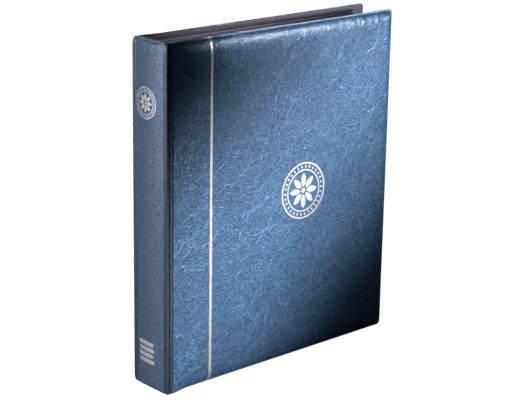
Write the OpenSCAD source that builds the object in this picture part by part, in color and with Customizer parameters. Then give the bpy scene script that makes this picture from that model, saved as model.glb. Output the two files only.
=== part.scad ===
// Ring-bound coin album with padded covers, a four-ring mechanism, coin sheets and interleaves.
// The album stands on its bottom edge: Z runs up the spine, the spine faces -X, the front cover -Y.
// The origin is the centre of the footprint.

/* [Album] */
// Outside width, from the spine's face to the fore-edge
album_w = 235; // [232:1:250]
// Outside height
album_h = 270; // [268:1:280]
// Outside thickness, from cover to cover
album_d = 42; // [42:1:50]

/* [Covers] */
// Thickness of the imitation leather
skin_t = 0.8; // [0.6:0.1:1]
// Thickness of the foam under it
foam_t = 2; // [1.6:0.1:2.2]
// Thickness of the greyboard
board_t = 2.2; // [1.8:0.1:2.4]
// Thickness of the inside lining, and of the turned-in leather round it
lining_t = 0.5; // [0.4:0.1:0.6]
// Width of the solid leather rim round each board and foam pad
rim_w = 3; // [1:0.5:3.5]
// Width of the turned-in leather on the inside
turn_in = 4; // [4:1:12]
// Radius of a cover's outer corners
corner_r = 3; // [2:0.5:5]

/* [Foil stamping] */
// Distance of the stripe's centre from the spine's face
stripe_at = 42.5; // [35:0.5:60]
// Width of the stripe
stripe_w = 2.6; // [1.5:0.1:4]
// Diameter of the emblem on the front cover
emblem_d = 46; // [30:1:60]
// Height of the front emblem's centre
emblem_z = 137; // [120:1:150]
// Diameter of the emblem on the spine
spine_emblem_d = 24; // [16:1:26]

/* [Rings] */
// Radius of the closed rings, to the middle of the wire
ring_r = 10.5; // [10.5:0.1:11]
// Diameter of the ring wire
wire_d = 2.5; // [2:0.1:2.6]
// Distance between rings
ring_pitch = 65; // [60:1:66]

/* [Leaves] */
// Width of a coin sheet
sheet_w = 200; // [190:1:204]
// Height of a coin sheet
sheet_h = 252; // [245:1:256]
// Thickness of an empty coin sheet
sheet_t = 0.9; // [0.6:0.1:1]
// Thickness of an interleaf
interleaf_t = 0.3; // [0.2:0.05:0.3]
// Radius of the punched holes
punch_r = 3.2; // [3:0.1:3.3]

/* [Hidden] */
$fn = 64;
eps = 0.01;
middle_z = album_h / 2;
x_spine = -album_w / 2;
x_fore = album_w / 2;
y_out = album_d / 2;
panel_t = skin_t + foam_t + board_t + lining_t;
foil_t = 0.15;

// Each cover turns about a vertical line just inside the spine's corner.
hinge_inset = 2.5;
x_hinge = x_spine + hinge_inset;
y_hinge = y_out - hinge_inset;
cover_from_hinge = 3.5;
x_cover = x_hinge + cover_from_hinge;
spine_half = y_hinge - 2.3;
spine_rim_w = 2;
spine_turn_in = 3;
band_r = 2;
band_t = 0.9;
band_reach = 2.8;
ridge_r = 0.5;
ridge_at = 1.8;

// The mechanism lies on the spine's lining; its blades rock about two lines at pivot_v each side.
x_pad = x_spine + panel_t;
x_pivot = x_pad + 1.5;
x_ring = x_pivot + 9;
pivot_v = 8;
blade_t = 1;
blade_gap = 0.1;
arch_r = 16.2;
arch_t = 0.8;
x_arch = x_pivot + 3.2 - arch_r;
leg_v = 8.8;
lip_v = 6.9;
lip_t = 0.6;
leg_half = 120;
arch_half = 115;
blade_half = 113.8;
pin_u = 0.9;
pin_r = 0.8;
pin_play = 0.05;
pin_half = 117.5;
lever_v = 3.2;
lever_len = 12.6;
lever_t = 1.4;
lever_lean = 62;
boss_r = 1.6;
foot_len = 3.3;
foot_low = 1.2;
rivet_half = 107;
rivet_r = 1.5;
rivet_play = 0.02;
rivet_head_r = 2.6;
rivet_head_t = 0.6;
clench_r = 3;
clench_t = 0.6;
blade_clear_r = 2.4;
slot_half_z = 2;
slot_from_v = 5.2;
ring_count = 4;
ring_tip_deg = 0.4;
ring_foot_deg = 150;

// The leaves hang on the rings side by side. A leaf's hole sits a little outside the wire's circle,
// so that it stays clear of the wire while the leaf turns and the rings open.
leaf_step = 0.9;
leaf_inner = 5.5;
hole_out = 1.2;
x_leaf = x_ring + leaf_inner;
z_leaf = middle_z - sheet_h / 2;
pocket_cols = 4;
pocket_rows = 6;
pocket_gap = 2.5;
pocket_side = 2;
pocket_from = 14;
pocket_deep = 0.25;
card_short = 2;

// ---- Shared shapes ----

// A flat drawing in width and height, stood upright facing -Y from depth y0 to y0 + t.
module upright(y0, t) {
    translate([0, y0 + t, 0])
        rotate([90, 0, 0])
            linear_extrude(t)
                children();
}

// A flat drawing in depth and height, stood upright facing -X from x0 to x0 + t.
module sideways(x0, t) {
    translate([x0, 0, 0])
        rotate([90, 0, 90])
            linear_extrude(t)
                children();
}

// A rectangle whose two corners on the right are rounded.
module cover_outline(x0, x1, z0, z1, r) {
    translate([x0, z0])
        square([x1 - r - x0, z1 - z0]);
    translate([x1 - r - eps, z0 + r])
        square([r + eps, z1 - z0 - 2 * r]);
    for (z = [z0 + r, z1 - r])
        translate([x1 - r, z])
            circle(r);
}

// The outline of a cover, drawn in by d on every side.
module inset_cover(d) {
    cover_outline(x_cover + d, x_fore - d, d, album_h - d, max(corner_r - d, 0.5));
}

module across_back() {
    mirror([0, 1, 0])
        children();
}

// ---- Foil marks: a plain coin with a reeded rim and an eight-petalled flower ----

module petal(r) {
    intersection() {
        translate([0.55 * r, 0.42 * r])
            circle(0.62 * r);
        translate([0.55 * r, -0.42 * r])
            circle(0.62 * r);
    }
}

module coin_mark(d) {
    r = d / 2;
    difference() {
        circle(r);
        circle(0.94 * r);
    }
    for (a = [0:12:348])
        rotate(a)
            translate([0.8 * r, -0.03 * r])
                square([0.09 * r, 0.06 * r]);
    difference() {
        circle(0.75 * r);
        circle(0.7 * r);
    }
    for (a = [0:45:315])
        rotate(a)
            translate([0.08 * r, 0])
                scale(0.54)
                    petal(r);
    circle(0.09 * r);
}

// Four stacked coins seen from the edge.
module coin_stack_mark(w) {
    h = 0.18 * w;
    for (k = [0:3]) {
        translate([(k % 2 == 0 ? 0.03 : -0.03) * w, (k - 1.5) * 1.45 * h]) {
            square([w - h, h], center = true);
            for (s = [-1, 1])
                translate([s * (w - h) / 2, 0])
                    circle(h / 2);
        }
    }
}

module front_stripe_2d() {
    translate([x_spine + stripe_at - stripe_w / 2, 0])
        square([stripe_w, album_h]);
}

module front_emblem_2d() {
    translate([20, emblem_z])
        coin_mark(emblem_d);
}

module spine_emblem_2d() {
    translate([-4, 223])
        coin_mark(spine_emblem_d);
}

module spine_foot_2d() {
    translate([-4, 29])
        coin_stack_mark(18);
}

// ---- Covers ----

// Leather tray of a cover: outer face, four edges and the margin turned in over the board.
module cover_skin() {
    difference() {
        upright(-y_out, panel_t)
            inset_cover(0);
        upright(-y_out + skin_t, foam_t + board_t)
            inset_cover(rim_w);
        upright(-y_out + panel_t - lining_t - eps, lining_t + 2 * eps)
            inset_cover(turn_in);
    }
}

module cover_foam() {
    upright(-y_out + skin_t, foam_t)
        inset_cover(rim_w);
}

module cover_board() {
    upright(-y_out + skin_t + foam_t, board_t)
        inset_cover(rim_w);
}

module cover_lining() {
    upright(-y_out + panel_t - lining_t, lining_t)
        inset_cover(turn_in);
}

module front_skin() {
    color("#2d5e8e")
        difference() {
            cover_skin();
            upright(-y_out - eps, foil_t + eps) {
                front_stripe_2d();
                front_emblem_2d();
            }
        }
}

module front_foam_pad() {
    color("#d8d4c8")
        cover_foam();
}

module front_board() {
    color("#8f8a80")
        cover_board();
}

module front_lining() {
    color("#2c2b36")
        cover_lining();
}

module front_foil_stripe() {
    color("#d9dce0")
        upright(-y_out, foil_t)
            front_stripe_2d();
}

module front_emblem() {
    color("#d9dce0")
        upright(-y_out, foil_t)
            front_emblem_2d();
}

module back_skin() {
    color("#2d5e8e")
        across_back()
            cover_skin();
}

module back_foam_pad() {
    color("#d8d4c8")
        across_back()
            cover_foam();
}

module back_board() {
    color("#8f8a80")
        across_back()
            cover_board();
}

module back_lining() {
    color("#2c2b36")
        across_back()
            cover_lining();
}

// ---- Spine ----

module spine_rect(side_in, end_in) {
    translate([-spine_half + side_in, end_in])
        square([2 * (spine_half - side_in), album_h - 2 * end_in]);
}

// One drawing at each of the two rivets, which stand on the spine's middle line.
module at_rivets() {
    for (s = [-1, 1])
        translate([0, middle_z + s * rivet_half])
            children();
}

module spine_skin() {
    color("#3f5f88")
        difference() {
            sideways(x_spine, panel_t)
                spine_rect(0, 0);
            sideways(x_spine + skin_t, foam_t + board_t)
                spine_rect(spine_rim_w, rim_w);
            sideways(x_spine + panel_t - lining_t - eps, lining_t + 2 * eps)
                spine_rect(spine_turn_in, turn_in);
            sideways(x_spine - eps, foil_t + eps) {
                mirror([1, 0])
                    spine_emblem_2d();
                mirror([1, 0])
                    spine_foot_2d();
            }
        }
}

module spine_foam_pad() {
    color("#d8d4c8")
        difference() {
            sideways(x_spine + skin_t, foam_t)
                spine_rect(spine_rim_w, rim_w);
            sideways(x_spine + skin_t + foam_t - clench_t, clench_t + eps)
                at_rivets()
                    circle(clench_r + rivet_play);
        }
}

module spine_board() {
    color("#8f8a80")
        difference() {
            sideways(x_spine + skin_t + foam_t, board_t)
                spine_rect(spine_rim_w, rim_w);
            sideways(x_spine + skin_t + foam_t - eps, board_t + 2 * eps)
                at_rivets()
                    circle(rivet_r + rivet_play);
        }
}

module spine_lining() {
    color("#2c2b36")
        difference() {
            sideways(x_pad - lining_t, lining_t)
                spine_rect(spine_turn_in, turn_in);
            sideways(x_pad - lining_t - eps, lining_t + 2 * eps)
                at_rivets()
                    circle(rivet_r + rivet_play);
        }
}

module spine_emblem() {
    color("#d9dce0")
        sideways(x_spine, foil_t)
            mirror([1, 0])
                spine_emblem_2d();
}

module spine_foot_mark() {
    color("#d9dce0")
        sideways(x_spine, foil_t)
            mirror([1, 0])
                spine_foot_2d();
}

// Welded hinge band: runs from the spine panel round the corner, with two raised weld ridges.
module hinge_band() {
    linear_extrude(album_h)
        translate([x_hinge, -y_hinge]) {
            translate([-band_r, 0])
                square([band_t, y_hinge - spine_half]);
            intersection() {
                difference() {
                    circle(band_r);
                    circle(band_r - band_t);
                }
                translate([-band_r, -band_r])
                    square(band_r);
            }
            translate([0, -band_r])
                square([band_reach, band_t]);
            rotate(225)
                translate([band_r - eps, 0])
                    circle(ridge_r);
            translate([ridge_at, -band_r])
                circle(ridge_r);
        }
}

module front_hinge_band() {
    color("#35537c")
        hinge_band();
}

module back_hinge_band() {
    color("#35537c")
        across_back()
            hinge_band();
}

// ---- Ring mechanism ----

// A bar of the given depth and rise, run along the mechanism.
module run(half, x0, x1, v0, v1) {
    translate([x0, v0, middle_z - half])
        cube([x1 - x0, v1 - v0, 2 * half]);
}

module arch_section() {
    difference() {
        intersection() {
            translate([x_arch, 0])
                circle(arch_r + arch_t, $fn = 160);
            translate([x_pad, -leg_v - arch_t])
                square([8, 2 * (leg_v + arch_t)]);
        }
        intersection() {
            translate([x_arch, 0])
                circle(arch_r, $fn = 160);
            translate([x_pad - 1, -leg_v])
                square([8, 2 * leg_v]);
        }
    }
}

module mechanism_plate() {
    color("#c8ccd2")
        difference() {
            union() {
                translate([0, 0, middle_z - arch_half])
                    linear_extrude(2 * arch_half)
                        arch_section();
                for (s = [-1, 1]) {
                    run(leg_half, x_pad, x_pivot + 1, s > 0 ? leg_v : -leg_v - arch_t,
                        s > 0 ? leg_v + arch_t : -leg_v);
                    run(arch_half, x_pad, x_pad + lip_t, s > 0 ? lip_v : -leg_v - eps,
                        s > 0 ? leg_v + eps : -lip_v);
                }
            }
            // Slots that the ring wires pass through
            for (k = [0:ring_count - 1])
                for (s = [-1, 1])
                    translate([x_pivot + 0.6, s > 0 ? slot_from_v : -leg_v - 2, ring_z(k) - slot_half_z])
                        cube([6, leg_v + 2 - slot_from_v, 2 * slot_half_z]);
            sideways(x_pivot, 8)
                at_rivets()
                    circle(rivet_r + rivet_play);
            lever_pins(pin_r);
        }
}

function ring_z(k) = middle_z + (k - (ring_count - 1) / 2) * ring_pitch;

// Rivet: head over the arch, shank down through lining and board, clench head in the foam.
module mechanism_rivets() {
    x_head = x_arch + arch_r + arch_t;
    x_clench = x_spine + skin_t + foam_t - clench_t;
    color("#b9bec4") {
        sideways(x_clench + clench_t - eps, x_head - x_clench - clench_t + 2 * eps)
            at_rivets()
                circle(rivet_r);
        sideways(x_head, rivet_head_t)
            at_rivets()
                circle(rivet_head_r);
        sideways(x_clench, clench_t)
            at_rivets()
                circle(clench_r);
    }
}

// Steel blade that carries one half of every ring, rocking about its outer edge.
module blade() {
    difference() {
        run(blade_half, x_pivot - blade_t / 2, x_pivot + blade_t / 2, -pivot_v + blade_gap, -blade_gap);
        sideways(x_pivot - blade_t, 2 * blade_t)
            at_rivets()
                circle(blade_clear_r);
    }
}

module front_blade() {
    color("#a9aeb5")
        blade();
}

module back_blade() {
    color("#a9aeb5")
        across_back()
            blade();
}

// Front half of a ring: bent round wire from the blade up to the tip.
module half_ring(k) {
    translate([x_ring, 0, ring_z(k)])
        difference() {
            rotate(-ring_foot_deg)
                rotate_extrude(angle = ring_foot_deg - ring_tip_deg)
                    translate([ring_r, 0])
                        circle(wire_d / 2);
            translate([-2 * ring_r + x_pivot + blade_t / 2 - x_ring, -2 * ring_r, -wire_d])
                cube([2 * ring_r, 4 * ring_r, 2 * wire_d]);
        }
}

module front_half_ring(k) {
    color("#d4d7db")
        half_ring(k);
}

module back_half_ring(k) {
    color("#d4d7db")
        across_back()
            half_ring(k);
}

// Both lever pins lie across the mechanism, one near each end.
module lever_pins(r) {
    for (s = [-1, 1])
        lever_pin(s, r);
}

module lever_pin(s, r) {
    translate([x_pivot + pin_u, leg_v + arch_t, middle_z + s * pin_half])
        rotate([90, 0, 0])
            cylinder(h = 2 * (leg_v + arch_t), r = r);
}

module lever_side() {
    difference() {
        union() {
            circle(boss_r);
            translate([-foot_len, -foot_low])
                square([foot_len, foot_low + 0.2]);
            rotate(lever_lean) {
                translate([0, -lever_t / 2])
                    square([lever_len, lever_t]);
                translate([lever_len, 0])
                    circle(lever_t / 2);
            }
        }
        circle(pin_r + pin_play);
    }
}

module lever() {
    translate([x_pivot + pin_u, -lever_v, middle_z + pin_half])
        rotate([-90, -90, 0])
            linear_extrude(2 * lever_v)
                lever_side();
}

module top_lever() {
    color("#d4d7db")
        lever();
}

module bottom_lever() {
    color("#d4d7db")
        translate([0, 0, album_h])
            mirror([0, 0, 1])
                lever();
}

module top_lever_pin() {
    color("#b9bec4")
        lever_pin(1, pin_r);
}

module bottom_lever_pin() {
    color("#b9bec4")
        lever_pin(-1, pin_r);
}

// ---- Leaves ----

// Four punched holes for a leaf that hangs at depth y.
module punch_holes(y) {
    for (k = [0:ring_count - 1])
        translate([x_ring + sqrt(ring_r * ring_r - y * y) + hole_out, ring_z(k)])
            circle(punch_r);
}

// Clear sheet with welded pockets that open towards the top, one coin in each.
module coin_sheet(n) {
    y = 2 * (n - 3) * leaf_step;
    col_w = (sheet_w - pocket_from - pocket_side) / pocket_cols;
    row_h = (sheet_h - 2 * pocket_side) / pocket_rows;
    color("#dfe8ee", 0.6)
        difference() {
            upright(y - sheet_t / 2, sheet_t)
                difference() {
                    translate([x_leaf, z_leaf])
                        square([sheet_w, sheet_h]);
                    punch_holes(y);
                }
            upright(y - sheet_t / 2 - eps, pocket_deep + eps)
                for (i = [0:pocket_cols - 1])
                    for (j = [0:pocket_rows - 1])
                        translate([x_leaf + pocket_from + i * col_w + pocket_gap / 2,
                                   z_leaf + pocket_side + j * row_h + pocket_gap / 2])
                            square([col_w - pocket_gap, row_h - pocket_gap]);
        }
}

// Stiff card between two coin sheets.
module interleaf(n) {
    y = (2 * n - 5) * leaf_step;
    color("#3a3d46")
        upright(y - interleaf_t / 2, interleaf_t)
            difference() {
                translate([x_leaf, z_leaf + card_short / 2])
                    square([sheet_w - card_short, sheet_h - card_short]);
                punch_holes(y);
            }
}

spine_board();
spine_foam_pad();
spine_skin();
spine_lining();
spine_emblem();
spine_foot_mark();
front_hinge_band();
back_hinge_band();
front_board();
front_foam_pad();
front_skin();
front_lining();
front_foil_stripe();
front_emblem();
back_board();
back_foam_pad();
back_skin();
back_lining();
mechanism_plate();
mechanism_rivets();
front_blade();
back_blade();
front_half_ring(0);  // ring_1_front_half
front_half_ring(1);  // ring_2_front_half
front_half_ring(2);  // ring_3_front_half
front_half_ring(3);  // ring_4_front_half
back_half_ring(0);  // ring_1_back_half
back_half_ring(1);  // ring_2_back_half
back_half_ring(2);  // ring_3_back_half
back_half_ring(3);  // ring_4_back_half
top_lever();
bottom_lever();
top_lever_pin();
bottom_lever_pin();
coin_sheet(1);  // coin_sheet_1
coin_sheet(2);  // coin_sheet_2
coin_sheet(3);  // coin_sheet_3
coin_sheet(4);  // coin_sheet_4
coin_sheet(5);  // coin_sheet_5
interleaf(1);  // interleaf_1
interleaf(2);  // interleaf_2
interleaf(3);  // interleaf_3
interleaf(4);  // interleaf_4
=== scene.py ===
"""Coin album with padded, welded imitation leather covers, a four-ring mechanism and clear coin sheets.

The album stands on its bottom edge: Z runs up the spine, the spine faces -X and the front cover -Y.
Sizes are given in millimetres and are turned into metres when a mesh is made.
"""

import math

import bmesh
import bpy
import numpy as np
from mathutils import Matrix, Vector


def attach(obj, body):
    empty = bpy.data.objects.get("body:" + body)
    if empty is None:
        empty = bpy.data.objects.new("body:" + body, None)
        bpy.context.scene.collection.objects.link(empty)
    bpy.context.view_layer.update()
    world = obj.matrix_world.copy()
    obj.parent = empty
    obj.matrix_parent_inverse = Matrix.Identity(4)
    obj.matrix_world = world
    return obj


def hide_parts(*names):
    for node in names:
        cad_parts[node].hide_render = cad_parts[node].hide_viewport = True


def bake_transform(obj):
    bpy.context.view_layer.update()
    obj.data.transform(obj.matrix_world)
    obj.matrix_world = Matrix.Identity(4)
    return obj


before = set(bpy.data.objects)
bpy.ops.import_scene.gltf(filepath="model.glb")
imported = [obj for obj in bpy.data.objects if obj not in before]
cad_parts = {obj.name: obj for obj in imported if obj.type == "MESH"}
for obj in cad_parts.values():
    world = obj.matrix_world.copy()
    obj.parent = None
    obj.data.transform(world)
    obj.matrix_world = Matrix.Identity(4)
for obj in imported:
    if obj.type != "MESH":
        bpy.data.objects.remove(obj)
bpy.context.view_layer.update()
MM = 0.001

# ---- Greyboards: three stiff boards of recycled pulp inside the covers and the spine. They are die-cut,
# laid between the foam and the lining, and held by the welded leather round them.

album_w, album_h, album_d = 235.0, 270.0, 42.0


def add_node(tree, kind, settings=None, **values):
    """Adds one shader node. Settings are its options; values are numbers, colours or sockets for its inputs,
    by name with _ for a space, or by place as i0, i1 and so on."""
    made = tree.nodes.new(kind)
    for key, value in (settings or {}).items():
        setattr(made, key, value)
    for key, value in values.items():
        socket = made.inputs[int(key[1:])] if key[1:].isdigit() else made.inputs[key.replace("_", " ")]
        if isinstance(value, bpy.types.NodeSocket):
            tree.links.new(value, socket)
        else:
            socket.default_value = value
    return made


def calc(tree, operation, first, second=0.0):
    """One arithmetic step on two numbers or sockets."""
    return add_node(tree, "ShaderNodeMath", {"operation": operation}, i0=first, i1=second).outputs[0]


def mixed(tree, share, first, second):
    """A colour between two, by share."""
    return add_node(tree, "ShaderNodeMix", {"data_type": "RGBA"}, i0=share, i6=first, i7=second).outputs[2]


def ramped(tree, value, low, high, out_low, out_high):
    """Value from low to high, turned along an S curve into out_low to out_high."""
    return add_node(tree, "ShaderNodeMapRange", {"interpolation_type": "SMOOTHSTEP"}, Value=value,
                    From_Min=low, From_Max=high, To_Min=out_low, To_Max=out_high).outputs[0]


def noise(tree, where, scale, detail=2.0, distortion=0.0):
    """Cloudy noise, 0 to 1, at a place; its first output is a value and its second a colour."""
    return add_node(tree, "ShaderNodeTexNoise", None, Vector=where, Scale=scale, Detail=detail,
                    Distortion=distortion)


def new_finish(name, **plain):
    """A material with its Principled shader, whose plain values are set on the shader's own sockets."""
    material = bpy.data.materials.new(name)
    material.use_nodes = True
    tree = material.node_tree
    shader = tree.nodes["Principled BSDF"]
    for key, value in plain.items():
        shader.inputs[key.replace("_", " ")].default_value = value
    where = add_node(tree, "ShaderNodeTexCoord").outputs["Object"]
    return material, tree, shader, where


def bump(tree, shader, height, strength, depth):
    """Height as fine relief on a shader's normal; depth in metres."""
    relief = add_node(tree, "ShaderNodeBump", None, Strength=strength, Distance=depth, Height=height)
    tree.links.new(relief.outputs[0], shader.inputs["Normal"])


def paint(node_names, material):
    """Gives CAD nodes that stay as they are their finish."""
    for name in node_names:
        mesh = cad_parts[name].data
        mesh.materials.clear()
        mesh.materials.append(material)


greyboard, tree, shader, where = new_finish("greyboard_pulp", Roughness=0.92)
fibres = noise(tree, where, 900.0, 6.0, 1.5).outputs[0]
flecks = ramped(tree, noise(tree, where, 260.0, 1.0).outputs[0], 0.60, 0.68, 0.0, 1.0)
pulp = mixed(tree, fibres, (0.30, 0.28, 0.25, 1), (0.46, 0.43, 0.39, 1))
tree.links.new(mixed(tree, calc(tree, "MULTIPLY", flecks, 0.5), pulp, (0.16, 0.15, 0.15, 1)),
               shader.inputs["Base Color"])
bump(tree, shader, fibres, 0.5, 0.0001)
paint(["spine_board", "front_board", "back_board"], greyboard)

# ---- Foam pads: soft foam sheets laid on the outer side of each board. They are cut with the board and
# pressed thin towards the edges by the stretched leather, which gives the album its padded look.


def value_noise(a, b, cell, seed):
    """Smooth random heights from -1 to 1: random values at the corners of square cells, joined by an S curve
    in both directions. The pattern starts away from its own edge and repeats after a set count of cells."""
    count = 128
    corners = np.random.default_rng(seed).uniform(-1, 1, (count, count))
    u, v = a / cell + 37.37, b / cell + 21.71
    i, j = np.floor(u).astype(int), np.floor(v).astype(int)
    s, t = u - i, v - j
    s, t = s * s * (3 - 2 * s), t * t * (3 - 2 * t)
    i0, i1, j0, j1 = i % count, (i + 1) % count, j % count, (j + 1) % count
    low = corners[i0, j0] * (1 - s) + corners[i1, j0] * s
    high = corners[i0, j1] * (1 - s) + corners[i1, j1] * s
    return low * (1 - t) + high * t


# Each padded panel's reach across (a) and up (b), the widths over which its edges are rounded, and its seed.
# A cover runs from its hinge edge to the fore-edge, the spine from hinge to hinge. A hinge edge falls a
# little and steeply, the other edges far and roundly.
front_panel = {"a": (-111.5, 117.5), "b": (0.0, album_h), "hinges": (2.6, None), "fore": 9.5, "end": 11.0,
               "seed": 11}
back_panel = {**front_panel, "seed": 57}
spine_panel = {"a": (-16.2, 16.2), "b": (0.0, album_h), "hinges": (3.6, 3.6), "fore": None, "end": 5.5,
               "seed": 83}
edge_fall, corner_fall, corner_run = 4.1, 1.5, 18.0  # an open end falls less within a run of the hinge
hinge_fall, spine_crown = 1.35, 1.2
corner_r = 3.0  # of the two fore-edge corners
lip_w, rim_w, end_round = 1.2, 3.0, 12.0  # from the edge: to the rounding, to board and foam, to full height
panel_t, leather_t = 5.5, 0.8
leather_back = 0.16  # least depth of the smooth face behind the panel's plane
board_top = 2.8  # depth of the board's outer face


def panel_fall(panel, a, b):
    """How far the smooth outer face lies behind the panel's outer plane: a quarter ellipse over the width of
    each rounding, a lower quarter ellipse at each hinge and, on the spine, a parabola that crowns it, all
    joined by a fourth-power sum. A cover's open ends fall less near the hinge."""
    sides = [(b - panel["b"][0], panel["end"]), (panel["b"][1] - b, panel["end"])]
    fall = corner_fall
    if panel["fore"]:
        sides.append((panel["a"][1] - a, panel["fore"]))
        far = np.clip((a - panel["a"][0]) / corner_run, 0, 1)
        fall = corner_fall + (edge_fall - corner_fall) * far * far * (3 - 2 * far)
    share = sum(np.clip(1 - (s - lip_w) / (w - lip_w), 0, 1) ** 4 for s, w in sides) ** 0.25
    main = fall * (1 - np.sqrt(1 - np.minimum(share, 1) ** 2))
    total = main ** 4
    if panel["fore"] is None:
        total = total + (spine_crown * (2 * a / (panel["a"][1] - panel["a"][0])) ** 2) ** 4
    for s, w in zip((a - panel["a"][0], panel["a"][1] - a), panel["hinges"]):
        if w:
            turn = np.clip(1 - s / w, 0, 1)
            total = total + (hinge_fall * (1 - np.sqrt(1 - turn ** 2))) ** 4
    return leather_back + total ** 0.25


def rounded_corners(panel, a, b):
    """Moves points of the two square fore-edge corners onto quarter discs: each keeps its direction from the
    corner's centre, and its distance becomes the larger of its two offsets."""
    if panel["fore"] is None:
        return a, b
    tiny = 1e-9
    a_mid = panel["a"][1] - corner_r
    for b_mid, way in ((panel["b"][0] + corner_r, -1), (panel["b"][1] - corner_r, 1)):
        p, q = a - a_mid, (b - b_mid) * way
        inside = (p > tiny) & (q > tiny)
        k = np.where(inside, np.maximum(p, q) / np.maximum(np.hypot(p, q), tiny), 1.0)
        a, b = np.where(inside, a_mid + p * k, a), np.where(inside, b_mid + q * k * way, b)
    return a, b


def placed(panel, a, b, depth):
    """Panel points as album points: depth runs in from the front, back or spine plane."""
    if panel is spine_panel:
        return np.stack([-album_w / 2 + depth, a, b], -1)
    side = -1 if panel is front_panel else 1
    return np.stack([a, side * (album_d / 2 - depth), b], -1)


def around(grid):
    """The rim of a grid, once round."""
    return np.concatenate([grid[:-1, 0], grid[-1, :-1], grid[:0:-1, -1], grid[0, :0:-1]])


def mesh_object(name, points, faces, finishes, face_finish=None, marks=None):
    """A smooth-shaded object from points in millimetres and faces, turned outwards by its signed volume. Face
    finish gives each face its place in the finishes; marks are values by name, one for each point."""
    points = np.asarray(points, float)
    fan = points[np.array([(f[0], f[k], f[k + 1]) for f in faces for k in range(1, len(f) - 1)])]
    if np.einsum("ij,ij->i", fan[:, 0], np.cross(fan[:, 1], fan[:, 2])).sum() < 0:
        faces = [tuple(f)[::-1] for f in faces]
    mesh = bpy.data.meshes.new(name)
    mesh.from_pydata((points * MM).tolist(), [], [tuple(int(i) for i in f) for f in faces])
    for finish in finishes:
        mesh.materials.append(finish)
    if face_finish is not None:
        mesh.polygons.foreach_set("material_index", np.asarray(face_finish, np.int32))
    for key, values in (marks or {}).items():
        mesh.attributes.new(key, "FLOAT", "POINT").data.foreach_set("value", np.asarray(values, np.float32))
    mesh.polygons.foreach_set("use_smooth", np.ones(len(mesh.polygons), bool))
    mesh.validate()
    mesh.update()
    made = bpy.data.objects.new(name, mesh)
    bpy.context.scene.collection.objects.link(made)
    return made


def closed_sheet(top, loops):
    """A closed surface: a grid of points whose rim is carried on through each loop of points in turn, the
    last loop being filled by one face. Gives the points, the faces and each face's loop number."""
    na, nb = top.shape[:2]
    index = np.arange(na * nb).reshape(na, nb)
    quads = np.stack([index[:-1, :-1], index[1:, :-1], index[1:, 1:], index[:-1, 1:]], -1).reshape(-1, 4)
    parts, faces, ranks = [top.reshape(-1, 3)], quads.tolist(), [0] * len(quads)
    last, count = around(index), na * nb
    for rank, loop in enumerate(loops, 1):
        ring = count + np.arange(len(loop))
        side = np.stack([np.roll(last, -1), last, ring, np.roll(ring, -1)], -1)
        faces += side.tolist()
        ranks += [rank] * len(side)
        parts.append(loop)
        last, count = ring, count + len(loop)
    faces.append(last[::-1].tolist())
    ranks.append(len(loops) + 1)
    return np.concatenate(parts), faces, np.array(ranks)


def rounding_steps(width, start, count=12):
    """Distances from an edge, close together where the face falls steeply: the ellipse's own even angles."""
    turn = np.radians(np.linspace(90, 0, count + 1))
    fall = lip_w + (width - lip_w) * (1 - np.sin(turn))
    return np.concatenate([start, fall[1:]])


def panel_lines(panel, spacing):
    """The grid lines across and up a panel: close together over each rounding, evenly spaced between them."""
    start = np.array([0.25, 0.55, 0.9, lip_w])
    lines = []
    for (low, high), widths, hinges in ((panel["a"], (None, panel["fore"]), panel["hinges"]),
                                        (panel["b"], (panel["end"], panel["end"]), (None, None))):
        ends = []
        for width, hinge in zip(widths, hinges):
            if width:
                ends.append(rounding_steps(width, start))
            else:
                ends.append(np.concatenate([start[:1], np.linspace(start[0], hinge, 7)[1:]]))
        inner = (low + ends[0][-1], high - ends[1][-1])
        count = max(2, int(round((inner[1] - inner[0]) / spacing)))
        lines.append(np.concatenate([low + ends[0][:-1], np.linspace(*inner, count + 1),
                                     (high - ends[1][:-1])[::-1]]))
    return lines


def inset_rim(panel, a_lines, b_lines, inset):
    """The rim of the panel's grid, drawn in evenly to that distance from its edges."""
    (a0, a1), (b0, b1) = panel["a"], panel["b"]
    a = a0 + inset + (a_lines - a_lines[0]) * (a1 - a0 - 2 * inset) / (a_lines[-1] - a_lines[0])
    b = b0 + inset + (b_lines - b_lines[0]) * (b1 - b0 - 2 * inset) / (b_lines[-1] - b_lines[0])
    a, b = np.meshgrid(a, b, indexing="ij")
    return around(a), around(b)


foam_finish, tree, shader, where = new_finish("cushion_foam", Roughness=0.95)
cells = add_node(tree, "ShaderNodeTexVoronoi", None, Vector=where, Scale=1600.0).outputs["Distance"]
tree.links.new(mixed(tree, cells, (0.80, 0.78, 0.70, 1), (0.62, 0.59, 0.51, 1)), shader.inputs["Base Color"])
bump(tree, shader, cells, 0.7, 0.0002)


def foam_pad(name, panel, body, node):
    """A pad as wide as the board. Its top follows the leather's inner face at a small gap and thins towards
    the edges, and its underside is flat on the board."""
    gap, least_t, over_board = 0.05, 0.15, 0.01
    lines = []
    for (low, high), count in ((panel["a"], 12), (panel["b"], 20)):
        lines.append(np.concatenate([low + np.linspace(rim_w + gap, end_round, 8),
                                     np.linspace(low + end_round, high - end_round, count)[1:-1],
                                     high - np.linspace(end_round, rim_w + gap, 8)]))
    a, b = np.meshgrid(*lines, indexing="ij")
    top = np.minimum(panel_fall(panel, a, b) + leather_t + gap, board_top - least_t)
    rim_a, rim_b = around(a), around(b)
    loop = placed(panel, rim_a, rim_b, np.full(len(rim_a), board_top - over_board))
    points, faces, _ = closed_sheet(placed(panel, a, b, top), [loop])
    pad = mesh_object(name, points, faces, [foam_finish])
    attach(pad, body)
    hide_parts(node)


foam_pad("front_cushion", front_panel, "front_cover", "front_foam_pad")
foam_pad("back_cushion", back_panel, "back_cover", "back_foam_pad")
foam_pad("spine_cushion", spine_panel, "spine", "spine_foam_pad")

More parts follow.
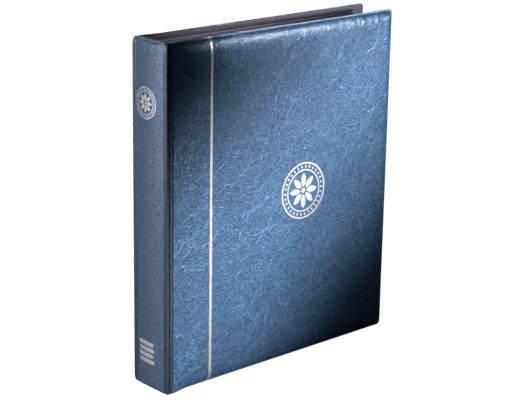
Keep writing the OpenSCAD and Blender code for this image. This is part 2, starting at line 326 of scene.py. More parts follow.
# ---- Leather: calendered imitation leather, dark blue, embossed with a fine wrinkled grain and a few long
# veins. It is stretched over foam and board and welded to the lining along a narrow lip.


def new_group(name, inputs, outputs):
    """A shader node group with those named input and output sockets."""
    group = bpy.data.node_groups.new(name, "ShaderNodeTree")
    for key, kind, value in inputs:
        made = group.interface.new_socket(key, in_out="INPUT", socket_type=kind)
        if value is not None:
            made.default_value = value
    for key, kind in outputs:
        group.interface.new_socket(key, in_out="OUTPUT", socket_type=kind)
    return group, group.nodes.new("NodeGroupInput"), group.nodes.new("NodeGroupOutput")


g, into, out = new_group(
    "leather_grain",
    [("Vector", "NodeSocketVector", None), ("Cells", "NodeSocketFloat", 330.0),
     ("Warp", "NodeSocketFloat", 0.8), ("Veins", "NodeSocketFloat", 1.0)],
    [("Height", "NodeSocketFloat"), ("Line", "NodeSocketFloat"), ("Mottle", "NodeSocketFloat")])
grain_group, grain_cells = g, into.outputs["Cells"]


def stirred(tree, vector, scale, reach):
    """A place moved about by a coloured noise, by up to half the reach each way."""
    stir, step = noise(tree, vector, scale, 1.0).outputs["Color"], "ShaderNodeVectorMath"
    stir = add_node(tree, step, {"operation": "SUBTRACT"}, i0=stir, i1=(0.5, 0.5, 0.5)).outputs[0]
    stir = add_node(tree, step, {"operation": "SCALE"}, i0=stir, Scale=reach).outputs[0]
    return add_node(tree, step, {"operation": "ADD"}, i0=vector, i1=stir).outputs[0]


def grain_scale(share):
    """The scale of a slower pattern, as a share of the grain's own."""
    return calc(g, "MULTIPLY", grain_cells, share)


def cell_edges(vector, scale, half_width):
    """Raised lines along the edges between random cells, 1 on an edge and 0 past the half width."""
    away = add_node(g, "ShaderNodeTexVoronoi", {"feature": "DISTANCE_TO_EDGE"}, Vector=vector, Scale=scale)
    return ramped(g, away.outputs["Distance"], 0.0, half_width, 1.0, 0.0)


def weighed(for_wrinkle, for_net, for_vein):
    """The wrinkles, the net and the veins added up by weight."""
    ground = calc(g, "ADD", calc(g, "MULTIPLY", wrinkle, for_wrinkle), calc(g, "MULTIPLY", net, for_net))
    return calc(g, "ADD", ground, calc(g, "MULTIPLY", vein, for_vein))


bent = stirred(g, into.outputs["Vector"], grain_scale(0.45),
               calc(g, "DIVIDE", into.outputs["Warp"], grain_cells))
swayed = stirred(g, bent, grain_scale(0.16), calc(g, "DIVIDE", 6.0, grain_cells))
fine = noise(g, bent, grain_cells, 0.6, 0.5).outputs[0]
wrinkle = ramped(g, calc(g, "ABSOLUTE", calc(g, "SUBTRACT", fine, 0.5)), 0.0, 0.10, 1.0, 0.0)
net = cell_edges(bent, grain_scale(0.62), 0.17)
vein = 0.0
# Three families of veins, by their turn about Y, their stretch along each axis and their scale.
for turn, size, share in ((0.05, (0.45, 1.0, 1.0), 0.135), (-0.90, (0.40, 1.0, 1.0), 0.12),
                          (0.0, (1.0, 1.0, 0.45), 0.16)):
    drawn = add_node(g, "ShaderNodeMapping", {"vector_type": "TEXTURE"}, Vector=swayed, Rotation=(0, turn, 0))
    drawn = add_node(g, "ShaderNodeMapping", None, Vector=drawn.outputs[0], Location=(turn, size[0], 0.4),
                     Scale=size).outputs[0]
    line = cell_edges(drawn, grain_scale(share), 0.055)
    patches = ramped(g, noise(g, drawn, grain_scale(0.075), 1.0).outputs[0], 0.50, 0.66, 0.0, 1.0)
    vein = calc(g, "MAXIMUM", vein, calc(g, "MULTIPLY", line, patches))
vein = calc(g, "MULTIPLY", vein, into.outputs["Veins"])
g.links.new(weighed(0.45, 0.30, 0.75), out.inputs["Height"])
g.links.new(calc(g, "MINIMUM", weighed(0.66, 0.26, 0.42), 1.0), out.inputs["Line"])
g.links.new(noise(g, into.outputs["Vector"], 14.0, 3.0).outputs[0], out.inputs["Mottle"])


def leather_finish(name, dark, light, cells, warp, veins, relief, rough, squeeze=(1.0, 1.0, 1.0)):
    """Blue imitation leather. The raised wrinkles are a lighter blue than the hollows between them, the
    welded lip is painted paler, partly as rub wear and partly as a painted highlight, and the leather is
    glossier where it is stretched over an end."""
    material, tree, shader, where = new_finish(name, Metallic=0.25, IOR=1.5, Coat_Roughness=0.30)
    where = add_node(tree, "ShaderNodeMapping", None, Vector=where, Scale=squeeze).outputs[0]
    grain = add_node(tree, "ShaderNodeGroup", {"node_tree": grain_group}, Vector=where, Cells=cells,
                     Warp=warp, Veins=veins)
    rub_and_sheen, stretched = (add_node(tree, "ShaderNodeAttribute", {"attribute_name": key}).outputs["Fac"]
                         for key in ("rub_and_sheen", "stretched"))
    rub_sheen_share, gloss, grain_depth = 0.45, 0.26, 0.00015
    # Painted highlight and rub wear: the lip and the hinge's ridges are drawn towards this paler blue by the
    # edge mark.
    pale = tuple(min(1.0, 1.5 * c) for c in light[:3]) + (1,)
    base = mixed(tree, grain.outputs["Line"], dark, light)
    base = mixed(tree, ramped(tree, grain.outputs["Mottle"], 0.35, 0.65, 0.0, 0.25), base, dark)
    base = mixed(tree, calc(tree, "MULTIPLY", rub_and_sheen, rub_sheen_share), base, pale)
    tree.links.new(base, shader.inputs["Base Color"])
    uneven = ramped(tree, grain.outputs["Line"], 0.0, 1.0, rough + 0.05, rough - 0.06)
    tree.links.new(uneven, shader.inputs["Roughness"])
    tree.links.new(calc(tree, "MULTIPLY", stretched, gloss), shader.inputs["Coat Weight"])
    bump(tree, shader, grain.outputs["Height"], relief, grain_depth)
    return material


cover_leather = leather_finish("cover_leather_blue", (0.010, 0.043, 0.110, 1), (0.096, 0.225, 0.400, 1),
                               cells=540.0, warp=1.1, veins=0.9, relief=1.0, rough=0.36)
spine_leather = leather_finish("spine_leather_blue", (0.030, 0.062, 0.125, 1), (0.085, 0.140, 0.230, 1),
                               cells=560.0, warp=0.8, veins=0.25, relief=0.7, rough=0.40,
                               squeeze=(1.0, 0.6, 1.3))

lining_film, tree, shader, where = new_finish("lining_film_dark", Roughness=0.55, Specular_IOR_Level=0.25)
along = add_node(tree, "ShaderNodeMapping", None, Vector=where, Scale=(0.12, 1.0, 1.0)).outputs[0]
brushed = noise(tree, along, 1500.0, 3.0).outputs[0]
cloudy = noise(tree, where, 30.0, 3.0).outputs[0]
streaks = calc(tree, "MULTIPLY", calc(tree, "ADD", brushed, cloudy), 0.5)
tree.links.new(mixed(tree, streaks, (0.014, 0.014, 0.026, 1), (0.060, 0.057, 0.088, 1)),
               shader.inputs["Base Color"])
bump(tree, shader, brushed, 0.35, 0.00012)


def edge_distances(panel, a, b):
    """How far points lie from the nearer side and from the nearer open end of a panel."""
    (a0, a1), (b0, b1) = panel["a"], panel["b"]
    return np.minimum(a - a0, a1 - a), np.minimum(b - b0, b1 - b)


def leather_relief(panel, a, b):
    """Height of the stretched leather over its smooth shape, in millimetres: slow swells of the foam, long
    raised veins where a slow noise crosses zero, and short puckers across the open ends where the leather
    is drawn over the edge. It fades out at the lip."""
    seed = panel["seed"]
    a0, a1 = panel["a"]
    swell = -0.10 - 0.10 * value_noise(a, b, 48.0, seed)
    vein_h, vein_w = 0.09, 0.16
    slow = value_noise(a * 0.6, b, 17.0, seed + 1) + 0.3 * value_noise(a, b, 8.0, seed + 2)
    region = np.clip(0.5 + value_noise(a, b, 60.0, seed + 3), 0, 1)
    vein = np.exp(-(slow / vein_w) ** 2) * region * vein_h
    across, ends = edge_distances(panel, a, b)
    pucker_at, pucker_reach = 5.5, 3.2
    reach = np.exp(-((ends - pucker_at) / pucker_reach) ** 2)
    pull = 0.35 + 0.65 * np.clip((a - a0) / (a1 - a0), 0, 1) ** 1.5
    narrow, wide = value_noise(a, b * 0.25, 2.6, seed + 4), value_noise(a, b * 0.2, 5.6, seed + 5)
    pucker = reach * pull * (0.36 * narrow + 0.24 * wide)
    edge = np.minimum(ends, across)
    return (swell + vein + pucker) * np.clip((edge - 1.0) / 4.0, 0, 1)


def leather_depth(panel, a, b):
    """Depth of the finished leather face behind the panel's outer plane, never less than a hair."""
    return np.maximum(panel_fall(panel, a, b) - leather_relief(panel, a, b), 0.07)


def leather_tray(name, panel, body, nodes, finish, spacing):
    """The leather of one panel: the padded outer face, the rolled lip, the flap turned in under the lining
    and the inner face that the foam lies against. The edge mark, which paints the lip paler as rub wear and a
    painted highlight, is a bell at the edges, and "stretched" a bell along each open end times one across the
    panel."""
    a_lines, b_lines = panel_lines(panel, spacing)
    a, b = np.meshgrid(a_lines, b_lines, indexing="ij")
    depth = leather_depth(panel, a, b)
    top = placed(panel, *rounded_corners(panel, a, b), depth)
    rim_depth = around(depth)
    loops = []
    # Round the lip: distance in from the edge, and share of the way through the panel.
    for inset, share in ((0.05, 0.12), (0.0, 0.35), (0.0, 0.62), (0.12, 0.84), (0.4, 0.95), (0.62, 0.93),
                         (0.72, 0.55)):
        x, y = rounded_corners(panel, *inset_rim(panel, a_lines, b_lines, inset))
        loops.append(placed(panel, x, y, rim_depth + (panel_t - rim_depth) * share))
    flap_under, deepest = 0.46, 4.6
    for inset in (lip_w, rim_w):
        x, y = rounded_corners(panel, *inset_rim(panel, a_lines, b_lines, inset))
        loops.append(placed(panel, x, y, np.full(len(x), panel_t - flap_under)))
    for inset in (rim_w, 4.5, 7.0, end_round):
        x, y = inset_rim(panel, a_lines, b_lines, inset)
        loops.append(placed(panel, x, y, np.minimum(panel_fall(panel, x, y) + leather_t, deepest)))
    points, faces, rank = closed_sheet(top, loops)
    across, ends = edge_distances(panel, a, b)
    edge = ends if panel["fore"] is None else np.minimum(across, ends)
    rub_sheen_loops, first_lined = 3, 6
    rub_and_sheen, stretched = np.zeros(len(points)), np.zeros(len(points))
    # The edge mark paints the lip paler: partly rub wear, partly a painted highlight along the lit edge.
    rub_and_sheen[:edge.size] = np.exp(-(edge.ravel() / 0.9) ** 2)
    rub_and_sheen[edge.size:edge.size + rub_sheen_loops * len(rim_depth)] = 0.8
    share = (a - panel["a"][0]) / (panel["a"][1] - panel["a"][0])
    gloss = np.exp(-((ends - 4.5) / 4.0) ** 2) * (0.25 + 0.75 * np.exp(-((share - 0.72) / 0.26) ** 2))
    stretched[:ends.size] = gloss.ravel()
    tray = mesh_object(name, points, faces, [finish, lining_film], (rank >= first_lined).astype(int),
                       {"rub_and_sheen": rub_and_sheen, "stretched": stretched})
    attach(tray, body)
    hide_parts(*nodes)


cover_spacing, spine_spacing = 1.15, 0.9
leather_tray("front_cover_leather", front_panel, "front_cover", ["front_skin"], cover_leather,
             cover_spacing)
leather_tray("back_cover_leather", back_panel, "back_cover", ["back_skin"], cover_leather,
             cover_spacing)
leather_tray("spine_leather", spine_panel, "spine", ["spine_skin"], spine_leather,
             spine_spacing)

# ---- Linings: dark film with a finely brushed face over the inside of each panel. It is welded to the
# leather all round along one pressed line.

weld_at = 5.4


def lining(name, panel, body, node):
    """A thin slab just under the inside plane. The pressed weld is a bell-shaped groove at one distance from
    the edge, and the film sinks a little towards the lip. The spine's film is welded at its two ends only."""
    under, sunk, underside = 0.02, 0.06, 0.44
    groove_h, lip_sink = 0.28, 0.10
    near = np.array([0.78, 1.3, 2.2, 3.6, 4.5, 4.9, 5.2, weld_at, 5.6, 5.9, 6.3, 7.2])
    first, last = near[0], near[-1]
    grids = []
    for low, high in (panel["a"], panel["b"]):
        middle = np.linspace(low + last, high - last, max(3, int((high - low) / 4.5)))[1:-1]
        grids.append(np.concatenate([low + near, middle, (high - near)[::-1]]))
    a, b = np.meshgrid(*grids, indexing="ij")
    across, ends = edge_distances(panel, a, b)
    edge = ends if panel["fore"] is None else np.minimum(across, ends)
    groove = (groove_h * np.exp(-((edge - weld_at) / 0.45) ** 2)
              + lip_sink * np.exp(-((edge - first) / 0.5) ** 2))
    wave = 0.05 * value_noise(a, b, 30.0, panel["seed"] + 9)
    depth = panel_t - under - groove - sunk + wave * np.clip(edge / 8, 0, 1)
    a, b = rounded_corners(panel, a, b)
    rim_a, rim_b = around(a), around(b)
    loop = placed(panel, rim_a, rim_b, np.full(len(rim_a), panel_t - underside))
    points, faces, _ = closed_sheet(placed(panel, a, b, depth), [loop])
    film = mesh_object(name, points, faces, [lining_film])
    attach(film, body)
    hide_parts(node)


lining("front_cover_lining", front_panel, "front_cover", "front_lining")
lining("back_cover_lining", back_panel, "back_cover", "back_lining")
lining("spine_lining_film", spine_panel, "spine", "spine_lining")

# ---- Hinges: between spine and covers the leather and the lining are welded together with no board, and
# two fine ridges are pressed along the fold.

hinge_x, hinge_y = -115.0, 18.5
band_r, band_t = 1.25, 0.7
spine_leg, cover_leg = 3.0, 4.0
# Painted shade: the hinge leather's colours are far darker than the cover's, standing in for the shade in the
# groove between spine and cover.
hinge_leather = leather_finish("hinge_leather_painted_shade", (0.010, 0.020, 0.042, 1), (0.060, 0.095, 0.150, 1),
                               cells=700.0, warp=0.6, veins=0.0, relief=0.35, rough=0.40,
                               squeeze=(1.0, 1.0, 0.45))


def hinge_band(name, side, node):
    """A band drawn up the album. Its section runs down the spine leg, round a quarter circle about the hinge
    line and along the cover leg. Two ridges and a faint one on the spine leg are bell-shaped rises along the
    section's normal, and the whole draws in diagonally by a quarter ellipse at the open ends."""
    bend = band_r * math.pi / 2
    run = np.linspace(0, spine_leg + bend + cover_leg, 73)
    turn = np.clip((run - spine_leg) / band_r, 0, math.pi / 2)
    down = np.stack([-np.cos(turn), -np.sin(turn)], -1)
    path = down * band_r
    path[:, 1] += np.clip(spine_leg - run, 0, None)
    path[:, 0] += np.clip(run - spine_leg - bend, 0, None)
    ridge_h, ridge_w, faint_h, faint_w = 0.95, 0.42, 0.16, 0.5
    ridge = sum(ridge_h * np.exp(-((run - at) / ridge_w) ** 2)
                for at in (spine_leg + bend / 2, spine_leg + bend + 0.95))
    ridge += faint_h * np.exp(-((run - spine_leg + 1.6) / faint_w) ** 2)
    outer = path + down * ridge[:, None]
    inner = path - down * band_t
    section = np.concatenate([outer, inner[::-1]])
    n = len(section)
    ends = np.array([0.15, 0.5, 1.2, 2.2, 3.5, 5.5, 8.0])
    up = np.concatenate([ends, np.linspace(11, album_h - 11, 110), (album_h - ends)[::-1]])
    near = np.clip(1 - (np.minimum(up, album_h - up) - ends[0]) / 6.0, 0, 1)
    draw = corner_fall * (1 - np.sqrt(1 - near ** 2)) * 0.9
    drift = 0.03 * value_noise(up, up * 0, 9.0, 5)
    x = hinge_x + section[None, :, 0] + draw[:, None]
    y = (-hinge_y + section[None, :, 1] + draw[:, None] + drift[:, None]) * side
    points = np.stack([x, y, np.broadcast_to(up[:, None], x.shape)], -1).reshape(-1, 3)
    index = np.arange(len(up) * n).reshape(len(up), n)
    right = np.roll(index, -1, axis=1)
    faces = np.stack([index[:-1], right[:-1], right[1:], index[1:]], -1).reshape(-1, 4).tolist()
    inside = np.tile((np.arange(n) >= len(run) - 1).astype(int), len(up) - 1)
    faces += [index[0, ::-1].tolist(), index[-1].tolist()]
    inside = np.concatenate([inside, [1, 1]])
    # Painted highlight: the ridge crests are marked to be painted paler, standing in for the light they
    # catch, with a little rub wear.
    rub_and_sheen = np.tile(np.concatenate([ridge / ridge_h, np.zeros(len(run))]) * 0.6, len(up))
    band = mesh_object(name, points, faces, [hinge_leather, lining_film], inside, {"rub_and_sheen": rub_and_sheen})
    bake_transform(band)
    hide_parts(node)


hinge_band("front_hinge_leather", 1, "front_hinge_band")
hinge_band("back_hinge_leather", -1, "back_hinge_band")

# ---- Foil stamping: silver foil pressed hot into the leather. A stripe runs the full height of the front
# cover; a reeded coin with a flower is stamped on cover and spine, and a stack of coins at the spine's foot.

foil_proud = 0.055
stripe_mid, stripe_w = -75.0, 3.0
silver_foil, tree, shader, where = new_finish("hot_foil_silver", Metallic=0.75, IOR=1.5)
grain = add_node(tree, "ShaderNodeGroup", {"node_tree": grain_group}, Vector=where, Cells=420.0, Warp=0.9,
                 Veins=0.3)
worn = ramped(tree, noise(tree, where, 700.0, 2.0).outputs[0], 0.66, 0.74, 0.0, 0.55)
silver = mixed(tree, grain.outputs["Line"], (0.50, 0.50, 0.52, 1), (0.74, 0.74, 0.75, 1))
tree.links.new(mixed(tree, worn, silver, (0.35, 0.42, 0.52, 1)), shader.inputs["Base Color"])
tree.links.new(ramped(tree, grain.outputs["Line"], 0.0, 1.0, 0.42, 0.32), shader.inputs["Roughness"])
bump(tree, shader, grain.outputs["Height"], 0.3, 0.0002)


def foil_stripe():
    """A ribbon of foil that lies a hair proud of the leather and follows it round both ends of the cover."""
    b_lines = panel_lines(front_panel, cover_spacing)[1]
    a_lines = stripe_mid + stripe_w * np.linspace(-0.5, 0.5, 5)
    a, b = np.meshgrid(a_lines, b_lines, indexing="ij")
    frayed = 0.05 * value_noise(b, b * 0, 1.7, 3) * np.sign(a - stripe_mid) * (np.abs(a - stripe_mid) > 1)
    depth = leather_depth(front_panel, a, b)
    loop = placed(front_panel, around(a), around(b), around(depth) + 0.02)
    points, faces, _ = closed_sheet(placed(front_panel, a + frayed, b, depth - foil_proud), [loop])
    ribbon = mesh_object("front_stripe_foil", points, faces, [silver_foil])
    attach(ribbon, "front_cover")
    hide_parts("front_foil_stripe")


def pressed_foil(name, node, panel, body):
    """A stamped mark: the mark's own outline, cut finer and laid on the leather's face, which it follows. Its
    outer points lie proud of the face and its inner ones a hair under it."""
    facet, sunk, outer_depth = 1.3, 0.03, 0.07
    shape = bmesh.new()
    shape.from_mesh(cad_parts[node].data)
    bmesh.ops.remove_doubles(shape, verts=shape.verts, dist=1e-6)
    for _ in range(4):
        long_edges = [e for e in shape.edges if e.calc_length() > facet * MM]
        bmesh.ops.subdivide_edges(shape, edges=long_edges, cuts=1)
        bmesh.ops.triangulate(shape, faces=shape.faces)
    mesh = bpy.data.meshes.new(name)
    shape.to_mesh(mesh)
    shape.free()
    co = np.empty(len(mesh.vertices) * 3)
    mesh.vertices.foreach_get("co", co)
    co = co.reshape(-1, 3) / MM
    if panel is spine_panel:
        a, depth = co[:, 1], co[:, 0] + album_w / 2
    else:
        a, depth = co[:, 0], co[:, 1] + album_d / 2
    face = leather_depth(panel, a, co[:, 2])
    laid = placed(panel, a, co[:, 2], np.where(depth > outer_depth, face + sunk, face - foil_proud))
    mesh.vertices.foreach_set("co", (laid * MM).ravel())
    mesh.materials.clear()
    mesh.materials.append(silver_foil)
    mesh.update()
    mark = bpy.data.objects.new(name, mesh)
    bpy.context.scene.collection.objects.link(mark)
    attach(mark, body)
    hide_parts(node)


foil_stripe()
pressed_foil("front_coin_mark", "front_emblem", front_panel, "front_cover")
pressed_foil("spine_coin_mark", "spine_emblem", spine_panel, "spine")
pressed_foil("spine_stack_mark", "spine_foot_mark", spine_panel, "spine")

# ---- Ring mechanism: pressed and nickel-plated steel. The arched plate is riveted through the spine, two
# blades snap under it, and each carries four half rings; a lever at each end opens them.

g, into, out = new_group(
    "metal_wear",
    [("Vector", "NodeSocketVector", None), ("Along", "NodeSocketFloat", 60.0),
     ("Across", "NodeSocketFloat", 2500.0)],
    [("Scratch", "NodeSocketFloat"), ("Smudge", "NodeSocketFloat")])
wear_group = g
drawn = add_node(g, "ShaderNodeCombineXYZ", None, i0=into.outputs["Across"], i1=into.outputs["Across"],
                 i2=into.outputs["Along"]).outputs[0]
lined = add_node(g, "ShaderNodeVectorMath", {"operation": "MULTIPLY"}, i0=into.outputs["Vector"], i1=drawn)
g.links.new(noise(g, lined.outputs[0], 1.0, 2.0).outputs[0], out.inputs["Scratch"])
g.links.new(noise(g, into.outputs["Vector"], 55.0, 3.0, 0.5).outputs[0], out.inputs["Smudge"])


def metal_finish(name, colour, rough_low, rough_high, scratch_depth, along=60.0):
    """Plated steel with drawing lines, and smudges that change its gloss."""
    material, tree, shader, where = new_finish(name, Metallic=1.0)
    wear = add_node(tree, "ShaderNodeGroup", {"node_tree": wear_group}, Vector=where, Along=along)
    darker = tuple(0.78 * c for c in colour) + (1,)
    smudge = wear.outputs["Smudge"]
    tree.links.new(mixed(tree, ramped(tree, smudge, 0.4, 0.7, 0.0, 0.6), colour + (1,), darker),
                   shader.inputs["Base Color"])
    tree.links.new(ramped(tree, smudge, 0.35, 0.7, rough_low, rough_high), shader.inputs["Roughness"])
    bump(tree, shader, wear.outputs["Scratch"], scratch_depth, 0.00005)
    return material


nickel = metal_finish("nickel_plate", (0.76, 0.74, 0.70), 0.16, 0.30, 0.25)
ring_nickel = metal_finish("ring_wire_nickel", (0.80, 0.79, 0.77), 0.10, 0.22, 0.15, 400.0)
zinc = metal_finish("blade_zinc", (0.62, 0.63, 0.64), 0.30, 0.45, 0.5)
rivet_steel = metal_finish("rivet_steel", (0.68, 0.67, 0.65), 0.20, 0.34, 0.3)


def softened(name, node, body, finish, width):
    """The stamped part itself with its sharp edges broken: a merged copy of its shape with a small bevel."""
    shape = bmesh.new()
    shape.from_mesh(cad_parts[node].data)
    bmesh.ops.remove_doubles(shape, verts=shape.verts, dist=2e-6)
    bmesh.ops.dissolve_limit(shape, angle_limit=math.radians(0.6), verts=shape.verts, edges=shape.edges)
    bmesh.ops.recalc_face_normals(shape, faces=shape.faces)
    for f in shape.faces:
        f.smooth = True
    mesh = bpy.data.meshes.new(name)
    shape.to_mesh(mesh)
    shape.free()
    mesh.materials.clear()
    mesh.materials.append(finish)
    made = bpy.data.objects.new(name, mesh)
    bpy.context.scene.collection.objects.link(made)
    edge = made.modifiers.new("broken_edges", "BEVEL")
    edge.width, edge.segments = width * MM, 2
    edge.limit_method, edge.angle_limit = "ANGLE", math.radians(35)
    edge.harden_normals = edge.use_clamp_overlap = True
    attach(made, body)
    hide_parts(node)


softened("arched_plate", "mechanism_plate", "spine", nickel, 0.18)
softened("plate_rivets", "mechanism_rivets", "spine", rivet_steel, 0.22)
softened("front_ring_blade", "front_blade", "front_rings", zinc, 0.12)
softened("back_ring_blade", "back_blade", "back_rings", zinc, 0.12)
softened("top_opening_lever", "top_lever", "top_lever_arm", nickel, 0.2)
softened("bottom_opening_lever", "bottom_lever", "bottom_lever_arm", nickel, 0.2)
softened("top_pin", "top_lever_pin", "spine", rivet_steel, 0.1)
softened("bottom_pin", "bottom_lever_pin", "spine", rivet_steel, 0.1)
for k in range(1, 5):
    for side in ("front", "back"):
        softened(f"ring_{k}_{side}_wire", f"ring_{k}_{side}_half", f"{side}_rings", ring_nickel,
                 0.15)

# ---- Leaves: five coin sheets of clear film, each two films welded into 24 pockets with a thumb notch at
# every mouth, and four dark card interleaves. All are punched for the four rings and hang on them.

ring_x, ring_r, hole_r = -101.5, 10.5, 3.2
hole_out = 1.2  # the holes' centres lie this far outside the wire's middle line, so the leaves hang slack
ring_z = album_h / 2 + 65.0 * (np.arange(4) - 1.5)
leaf_x, leaf_z0, leaf_w, leaf_h = -96.0, 9.0, 200.0, 252.0
leaf_pitch, card_t = 0.9, 0.3
hole_half, hole_cells = 5.0, 6  # half the square round a hole, and its cells along each side
pocket_x, pocket_z = leaf_x + 14.0, leaf_z0 + 2.0
pocket_w, pocket_h = 46.0, (leaf_h - 4.0) / 6


def holed_grid(x_lines, z_lines, hole_x):
    """A grid of points and quads with round holes: the quads over each hole are left out, and the square that
    remains is joined to the circle by three rings of quads."""
    step = hole_half * 2 / hole_cells
    across = step * np.arange(hole_cells + 1)
    x_lines = np.unique(np.round(np.concatenate([x_lines, hole_x - hole_half + across]), 4))
    x_lines = x_lines[[not (hole_x - hole_half < x < hole_x + hole_half and not np.isclose(
        (x - hole_x + hole_half) % step, (0, step), atol=2e-3).any()) for x in x_lines]]
    holes = np.concatenate([z - hole_half + across for z in ring_z])
    z_keep = [z for z in z_lines if not any(abs(z - c) < hole_half + 0.35 for c in ring_z)]
    z_lines = np.unique(np.round(np.concatenate([z_keep, holes]), 4))
    x, z = np.meshgrid(x_lines, z_lines, indexing="ij")
    points = [np.stack([x, z], -1).reshape(-1, 2)]
    index = np.arange(x.size).reshape(x.shape)
    keep = np.ones((len(x_lines) - 1, len(z_lines) - 1), bool)
    i0 = int(np.argmin(np.abs(x_lines - (hole_x - hole_half))))
    quads, count = [], x.size
    for c in ring_z:
        j0 = int(np.argmin(np.abs(z_lines - (c - hole_half))))
        keep[i0:i0 + hole_cells, j0:j0 + hole_cells] = False
        last = around(index[i0:i0 + hole_cells + 1, j0:j0 + hole_cells + 1])
        square = points[0][last]
        away = square - np.array([hole_x, c])
        circle = np.array([hole_x, c]) + away / np.linalg.norm(away, axis=1)[:, None] * hole_r
        for share in (0.45, 0.8, 1.0):
            ring = count + np.arange(len(last))
            points.append(square + (circle - square) * share)
            quads.append(np.stack([last, np.roll(last, -1), np.roll(ring, -1), ring], -1))
            last, count = ring, count + len(ring)
    grid = np.stack([index[:-1, :-1], index[1:, :-1], index[1:, 1:], index[:-1, 1:]], -1)[keep]
    quads = np.concatenate([grid, *quads])
    used, faces = np.unique(quads, return_inverse=True)
    return np.concatenate(points)[used], faces.reshape(-1, 4)


def leaf(name, node, y, front, back, finish, points, quads, marks=None):
    """A leaf: the punched grid laid twice, that far in front of its middle plane and behind it, and joined by
    walls along every open edge."""
    n = len(points)
    front, back = np.broadcast_to(front, n), np.broadcast_to(back, n)
    both = np.concatenate([np.stack([points[:, 0], y - front, points[:, 1]], -1),
                           np.stack([points[:, 0], y + back, points[:, 1]], -1)])
    edges = np.concatenate([quads[:, [k, (k + 1) % 4]] for k in range(4)])
    key = np.sort(edges, 1) @ np.array([n, 1])
    _, first, count = np.unique(key, return_index=True, return_counts=True)
    rim = edges[first[count == 1]]
    walls = np.stack([rim[:, 1], rim[:, 0], rim[:, 0] + n, rim[:, 1] + n], -1)
    faces = np.concatenate([quads, quads[:, ::-1] + n, walls]).tolist()
    marks = {key: np.tile(values, 2) for key, values in (marks or {}).items()}
    made = mesh_object(name, both, faces, [finish], marks=marks)
    smooth = np.concatenate([np.ones(2 * len(quads), bool), np.zeros(len(walls), bool)])
    made.data.polygons.foreach_set("use_smooth", smooth)
    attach(made, "leaf_" + node)
    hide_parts(node)


clear_film, tree, shader, where = new_finish("clear_pocket_film", IOR=1.38)
haze = noise(tree, where, 120.0, 3.0).outputs[0]
weld = add_node(tree, "ShaderNodeAttribute", {"attribute_name": "weld"}).outputs["Fac"]
tree.links.new(mixed(tree, haze, (0.90, 0.93, 0.95, 1), (0.97, 0.98, 0.99, 1)), shader.inputs["Base Color"])
dull = calc(tree, "MULTIPLY", weld, 0.35)
tree.links.new(calc(tree, "ADD", ramped(tree, haze, 0.35, 0.7, 0.05, 0.13), dull), shader.inputs["Roughness"])
milky = calc(tree, "MULTIPLY", weld, 0.50)
tree.links.new(calc(tree, "SUBTRACT", 0.94, milky), shader.inputs["Transmission Weight"])
stamped = calc(tree, "MULTIPLY", noise(tree, where, 1800.0, 1.0).outputs[0], weld)
ripple = calc(tree, "MULTIPLY", noise(tree, where, 38.0, 2.0).outputs[0], 4.0)
bump(tree, shader, calc(tree, "ADD", ripple, stamped), 0.25, 0.0002)

card_finish, tree, shader, where = new_finish("interleaf_card_dark", Roughness=0.85)
pulp = noise(tree, where, 1400.0, 5.0, 0.8).outputs[0]
tree.links.new(mixed(tree, pulp, (0.030, 0.033, 0.042, 1), (0.062, 0.066, 0.080, 1)),
               shader.inputs["Base Color"])
bump(tree, shader, pulp, 0.4, 0.00008)


def coin_sheet(number):
    """Two films welded in a grid. Half the thickness swells from the welds to the middle of each pocket by a
    flat-topped product of two eighth powers; the front film ends at a mouth that dips in a round notch. The
    mark "weld" is 1 along the welds."""
    y = 2 * leaf_pitch * (number - 3)
    half_t, swell_t, mouth_at, weld_from = 0.17, 0.26, 0.94, 0.955
    notch_w, notch_deep = 0.13, 5.0
    share = np.array([0.0, 0.018, 0.04, 0.08, 0.2, 0.35, 0.5, 0.65, 0.8, 0.92, 0.96, 0.982])
    x_lines = np.concatenate([[leaf_x], (pocket_x + pocket_w * (np.arange(4)[:, None] + share)).ravel(),
                              [pocket_x + 4 * pocket_w, leaf_x + leaf_w]])
    z_lines = np.concatenate([[leaf_z0], (pocket_z + pocket_h * (np.arange(6)[:, None] + share)).ravel(),
                              [pocket_z + 6 * pocket_h, leaf_z0 + leaf_h]])
    points, quads = holed_grid(x_lines, z_lines, ring_x + math.sqrt(ring_r ** 2 - y ** 2) + hole_out)
    u, v = ((points[:, 0] - pocket_x) / pocket_w) % 1, ((points[:, 1] - pocket_z) / pocket_h) % 1
    in_pockets = (points[:, 0] > pocket_x) & (points[:, 0] < pocket_x + 4 * pocket_w - 1e-6)
    swell = np.where(in_pockets, (1 - (2 * u - 1) ** 8) * (1 - (2 * v - 1) ** 8), 0)
    dip = np.exp(-((u - 0.5) / notch_w) ** 2) * notch_deep * np.clip((v - 0.55) / 0.40, 0, 1) * (v < 0.99)
    notch = np.where(in_pockets, dip, 0)
    weld = np.where(in_pockets, np.maximum(np.abs(2 * u - 1), np.abs(2 * v - 1)) > weld_from, 0).astype(float)
    points = np.stack([points[:, 0], points[:, 1] - notch], -1)
    leaf(f"coin_sheet_{number}_film", f"coin_sheet_{number}", y, half_t + swell_t * swell * (v < mouth_at),
         half_t + swell_t * swell, clear_film, points, quads, {"weld": weld})


def interleaf(number):
    """A plain punched card."""
    y = leaf_pitch * (2 * number - 5)
    x_lines = np.linspace(leaf_x, leaf_x + leaf_w - 2.0, 18)
    z_lines = np.linspace(leaf_z0 + 1.0, leaf_z0 + leaf_h - 1.0, 30)
    points, quads = holed_grid(x_lines, z_lines, ring_x + math.sqrt(ring_r ** 2 - y ** 2) + hole_out)
    leaf(f"interleaf_{number}_card", f"interleaf_{number}", y, card_t / 2, card_t / 2, card_finish,
         points, quads)


for k in range(1, 6):
    coin_sheet(k)
for k in range(1, 5):
    interleaf(k)

# ---- Studio: a pale matt floor, soft boxes and the camera. A narrow box draws the slanting band over the
# front cover, another the bright line along its top end, and two wide ones lift the spine and the back.

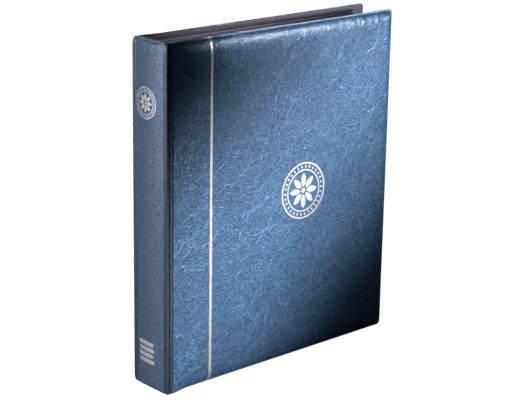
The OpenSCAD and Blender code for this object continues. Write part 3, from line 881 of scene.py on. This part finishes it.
reach = 9000
floor = mesh_object("studio_floor", [[-reach, -reach, 0], [reach, -reach, 0], [reach, reach, 0],
                                     [-reach, reach, 0]], [(0, 1, 2, 3)], [])
pale, tree, shader, where = new_finish("floor_pale", Roughness=0.8)
shade = noise(tree, where, 3.0, 2.0).outputs[0]
seen = add_node(tree, "ShaderNodeLightPath").outputs["Is Camera Ray"]
seen_colour = mixed(tree, shade, (0.90, 0.90, 0.90, 1), (0.93, 0.93, 0.93, 1))
tree.links.new(mixed(tree, seen, (0.35, 0.35, 0.35, 1), seen_colour), shader.inputs["Base Color"])
shader.inputs["Emission Color"].default_value = (1, 1, 1, 1)
tree.links.new(calc(tree, "MULTIPLY", seen, 0.96), shader.inputs["Emission Strength"])
floor.data.materials.append(pale)

world = bpy.data.worlds.new("studio_air")
bpy.context.scene.world = world
world.use_nodes = True
tree = world.node_tree
back = tree.nodes["Background"]
seen = add_node(tree, "ShaderNodeLightPath").outputs["Is Camera Ray"]
back.inputs["Color"].default_value = (1.0, 1.0, 1.0, 1)
tree.links.new(calc(tree, "ADD", calc(tree, "MULTIPLY", seen, 0.92), 0.05), back.inputs["Strength"])


def soft_light(name, place, aim, width, height, power, spread=180.0, roll=0.0, tint=(1, 1, 1)):
    """A rectangular soft box at a place, aimed at a point, in metres, watts and degrees."""
    data = bpy.data.lights.new(name, "AREA")
    data.shape, data.size, data.size_y, data.energy, data.color = "RECTANGLE", width, height, power, tint
    data.spread = math.radians(spread)
    box = bpy.data.objects.new(name, data)
    bpy.context.scene.collection.objects.link(box)
    from_to = np.array(aim, float) - np.array(place, float)
    aimed = Vector(from_to).to_track_quat("-Z", "Y").to_matrix().to_4x4()
    box.matrix_world = Matrix.Translation(place) @ aimed @ Matrix.Rotation(math.radians(roll), 4, "Z")


soft_light("band_light", (0.51, -1.25, 0.305), (0.022, -0.02, 0.158), width=0.05, height=0.40, power=0.39,
           spread=11.0, roll=-48.0)
soft_light("edge_light", (0.90, -0.95, 0.58), (0.066, -0.02, 0.296), width=0.18, height=0.03, power=0.046,
           spread=3.2, tint=(1.0, 0.93, 0.91))
soft_light("spine_light", (-1.3, 0.55, 0.25), (-0.117, 0.0, 0.135), width=0.3, height=0.7, power=1.5,
           spread=40.0)
soft_light("back_light", (0.55, 1.35, 0.60), (0.0, 0.0, 0.135), width=0.6, height=0.6, power=2.5)

# The way back from the album to the camera is turned about Z and tilted up; the camera is rolled about it.
camera_place = (-811.6, -885.3, 491.2)
camera_turn, camera_tilt, camera_roll = math.radians(-42.08), math.radians(16.83), math.radians(0.91)
image_widths_away, sensor_w = 1592.1 / 510, 36
lens = bpy.data.cameras.new("studio_camera")
lens.lens, lens.sensor_width = image_widths_away * sensor_w, sensor_w
lens.clip_start, lens.clip_end = 0.01, 50.0
camera = bpy.data.objects.new("studio_camera", lens)
bpy.context.scene.collection.objects.link(camera)
back_way = np.array([math.sin(camera_turn) * math.cos(camera_tilt),
                     -math.cos(camera_turn) * math.cos(camera_tilt), math.sin(camera_tilt)])
right = np.cross((0, 0, 1), back_way)
right /= np.linalg.norm(right)
up_way = np.cross(back_way, right)
x_axis = math.cos(camera_roll) * right + math.sin(camera_roll) * up_way
y_axis = -math.sin(camera_roll) * right + math.cos(camera_roll) * up_way
pose = np.eye(4)
pose[:3] = np.stack([x_axis, y_axis, back_way, np.array(camera_place) * MM], -1)
camera.matrix_world = Matrix(pose.tolist())
bpy.context.scene.camera = camera
bpy.context.scene.view_settings.view_transform = "Standard"
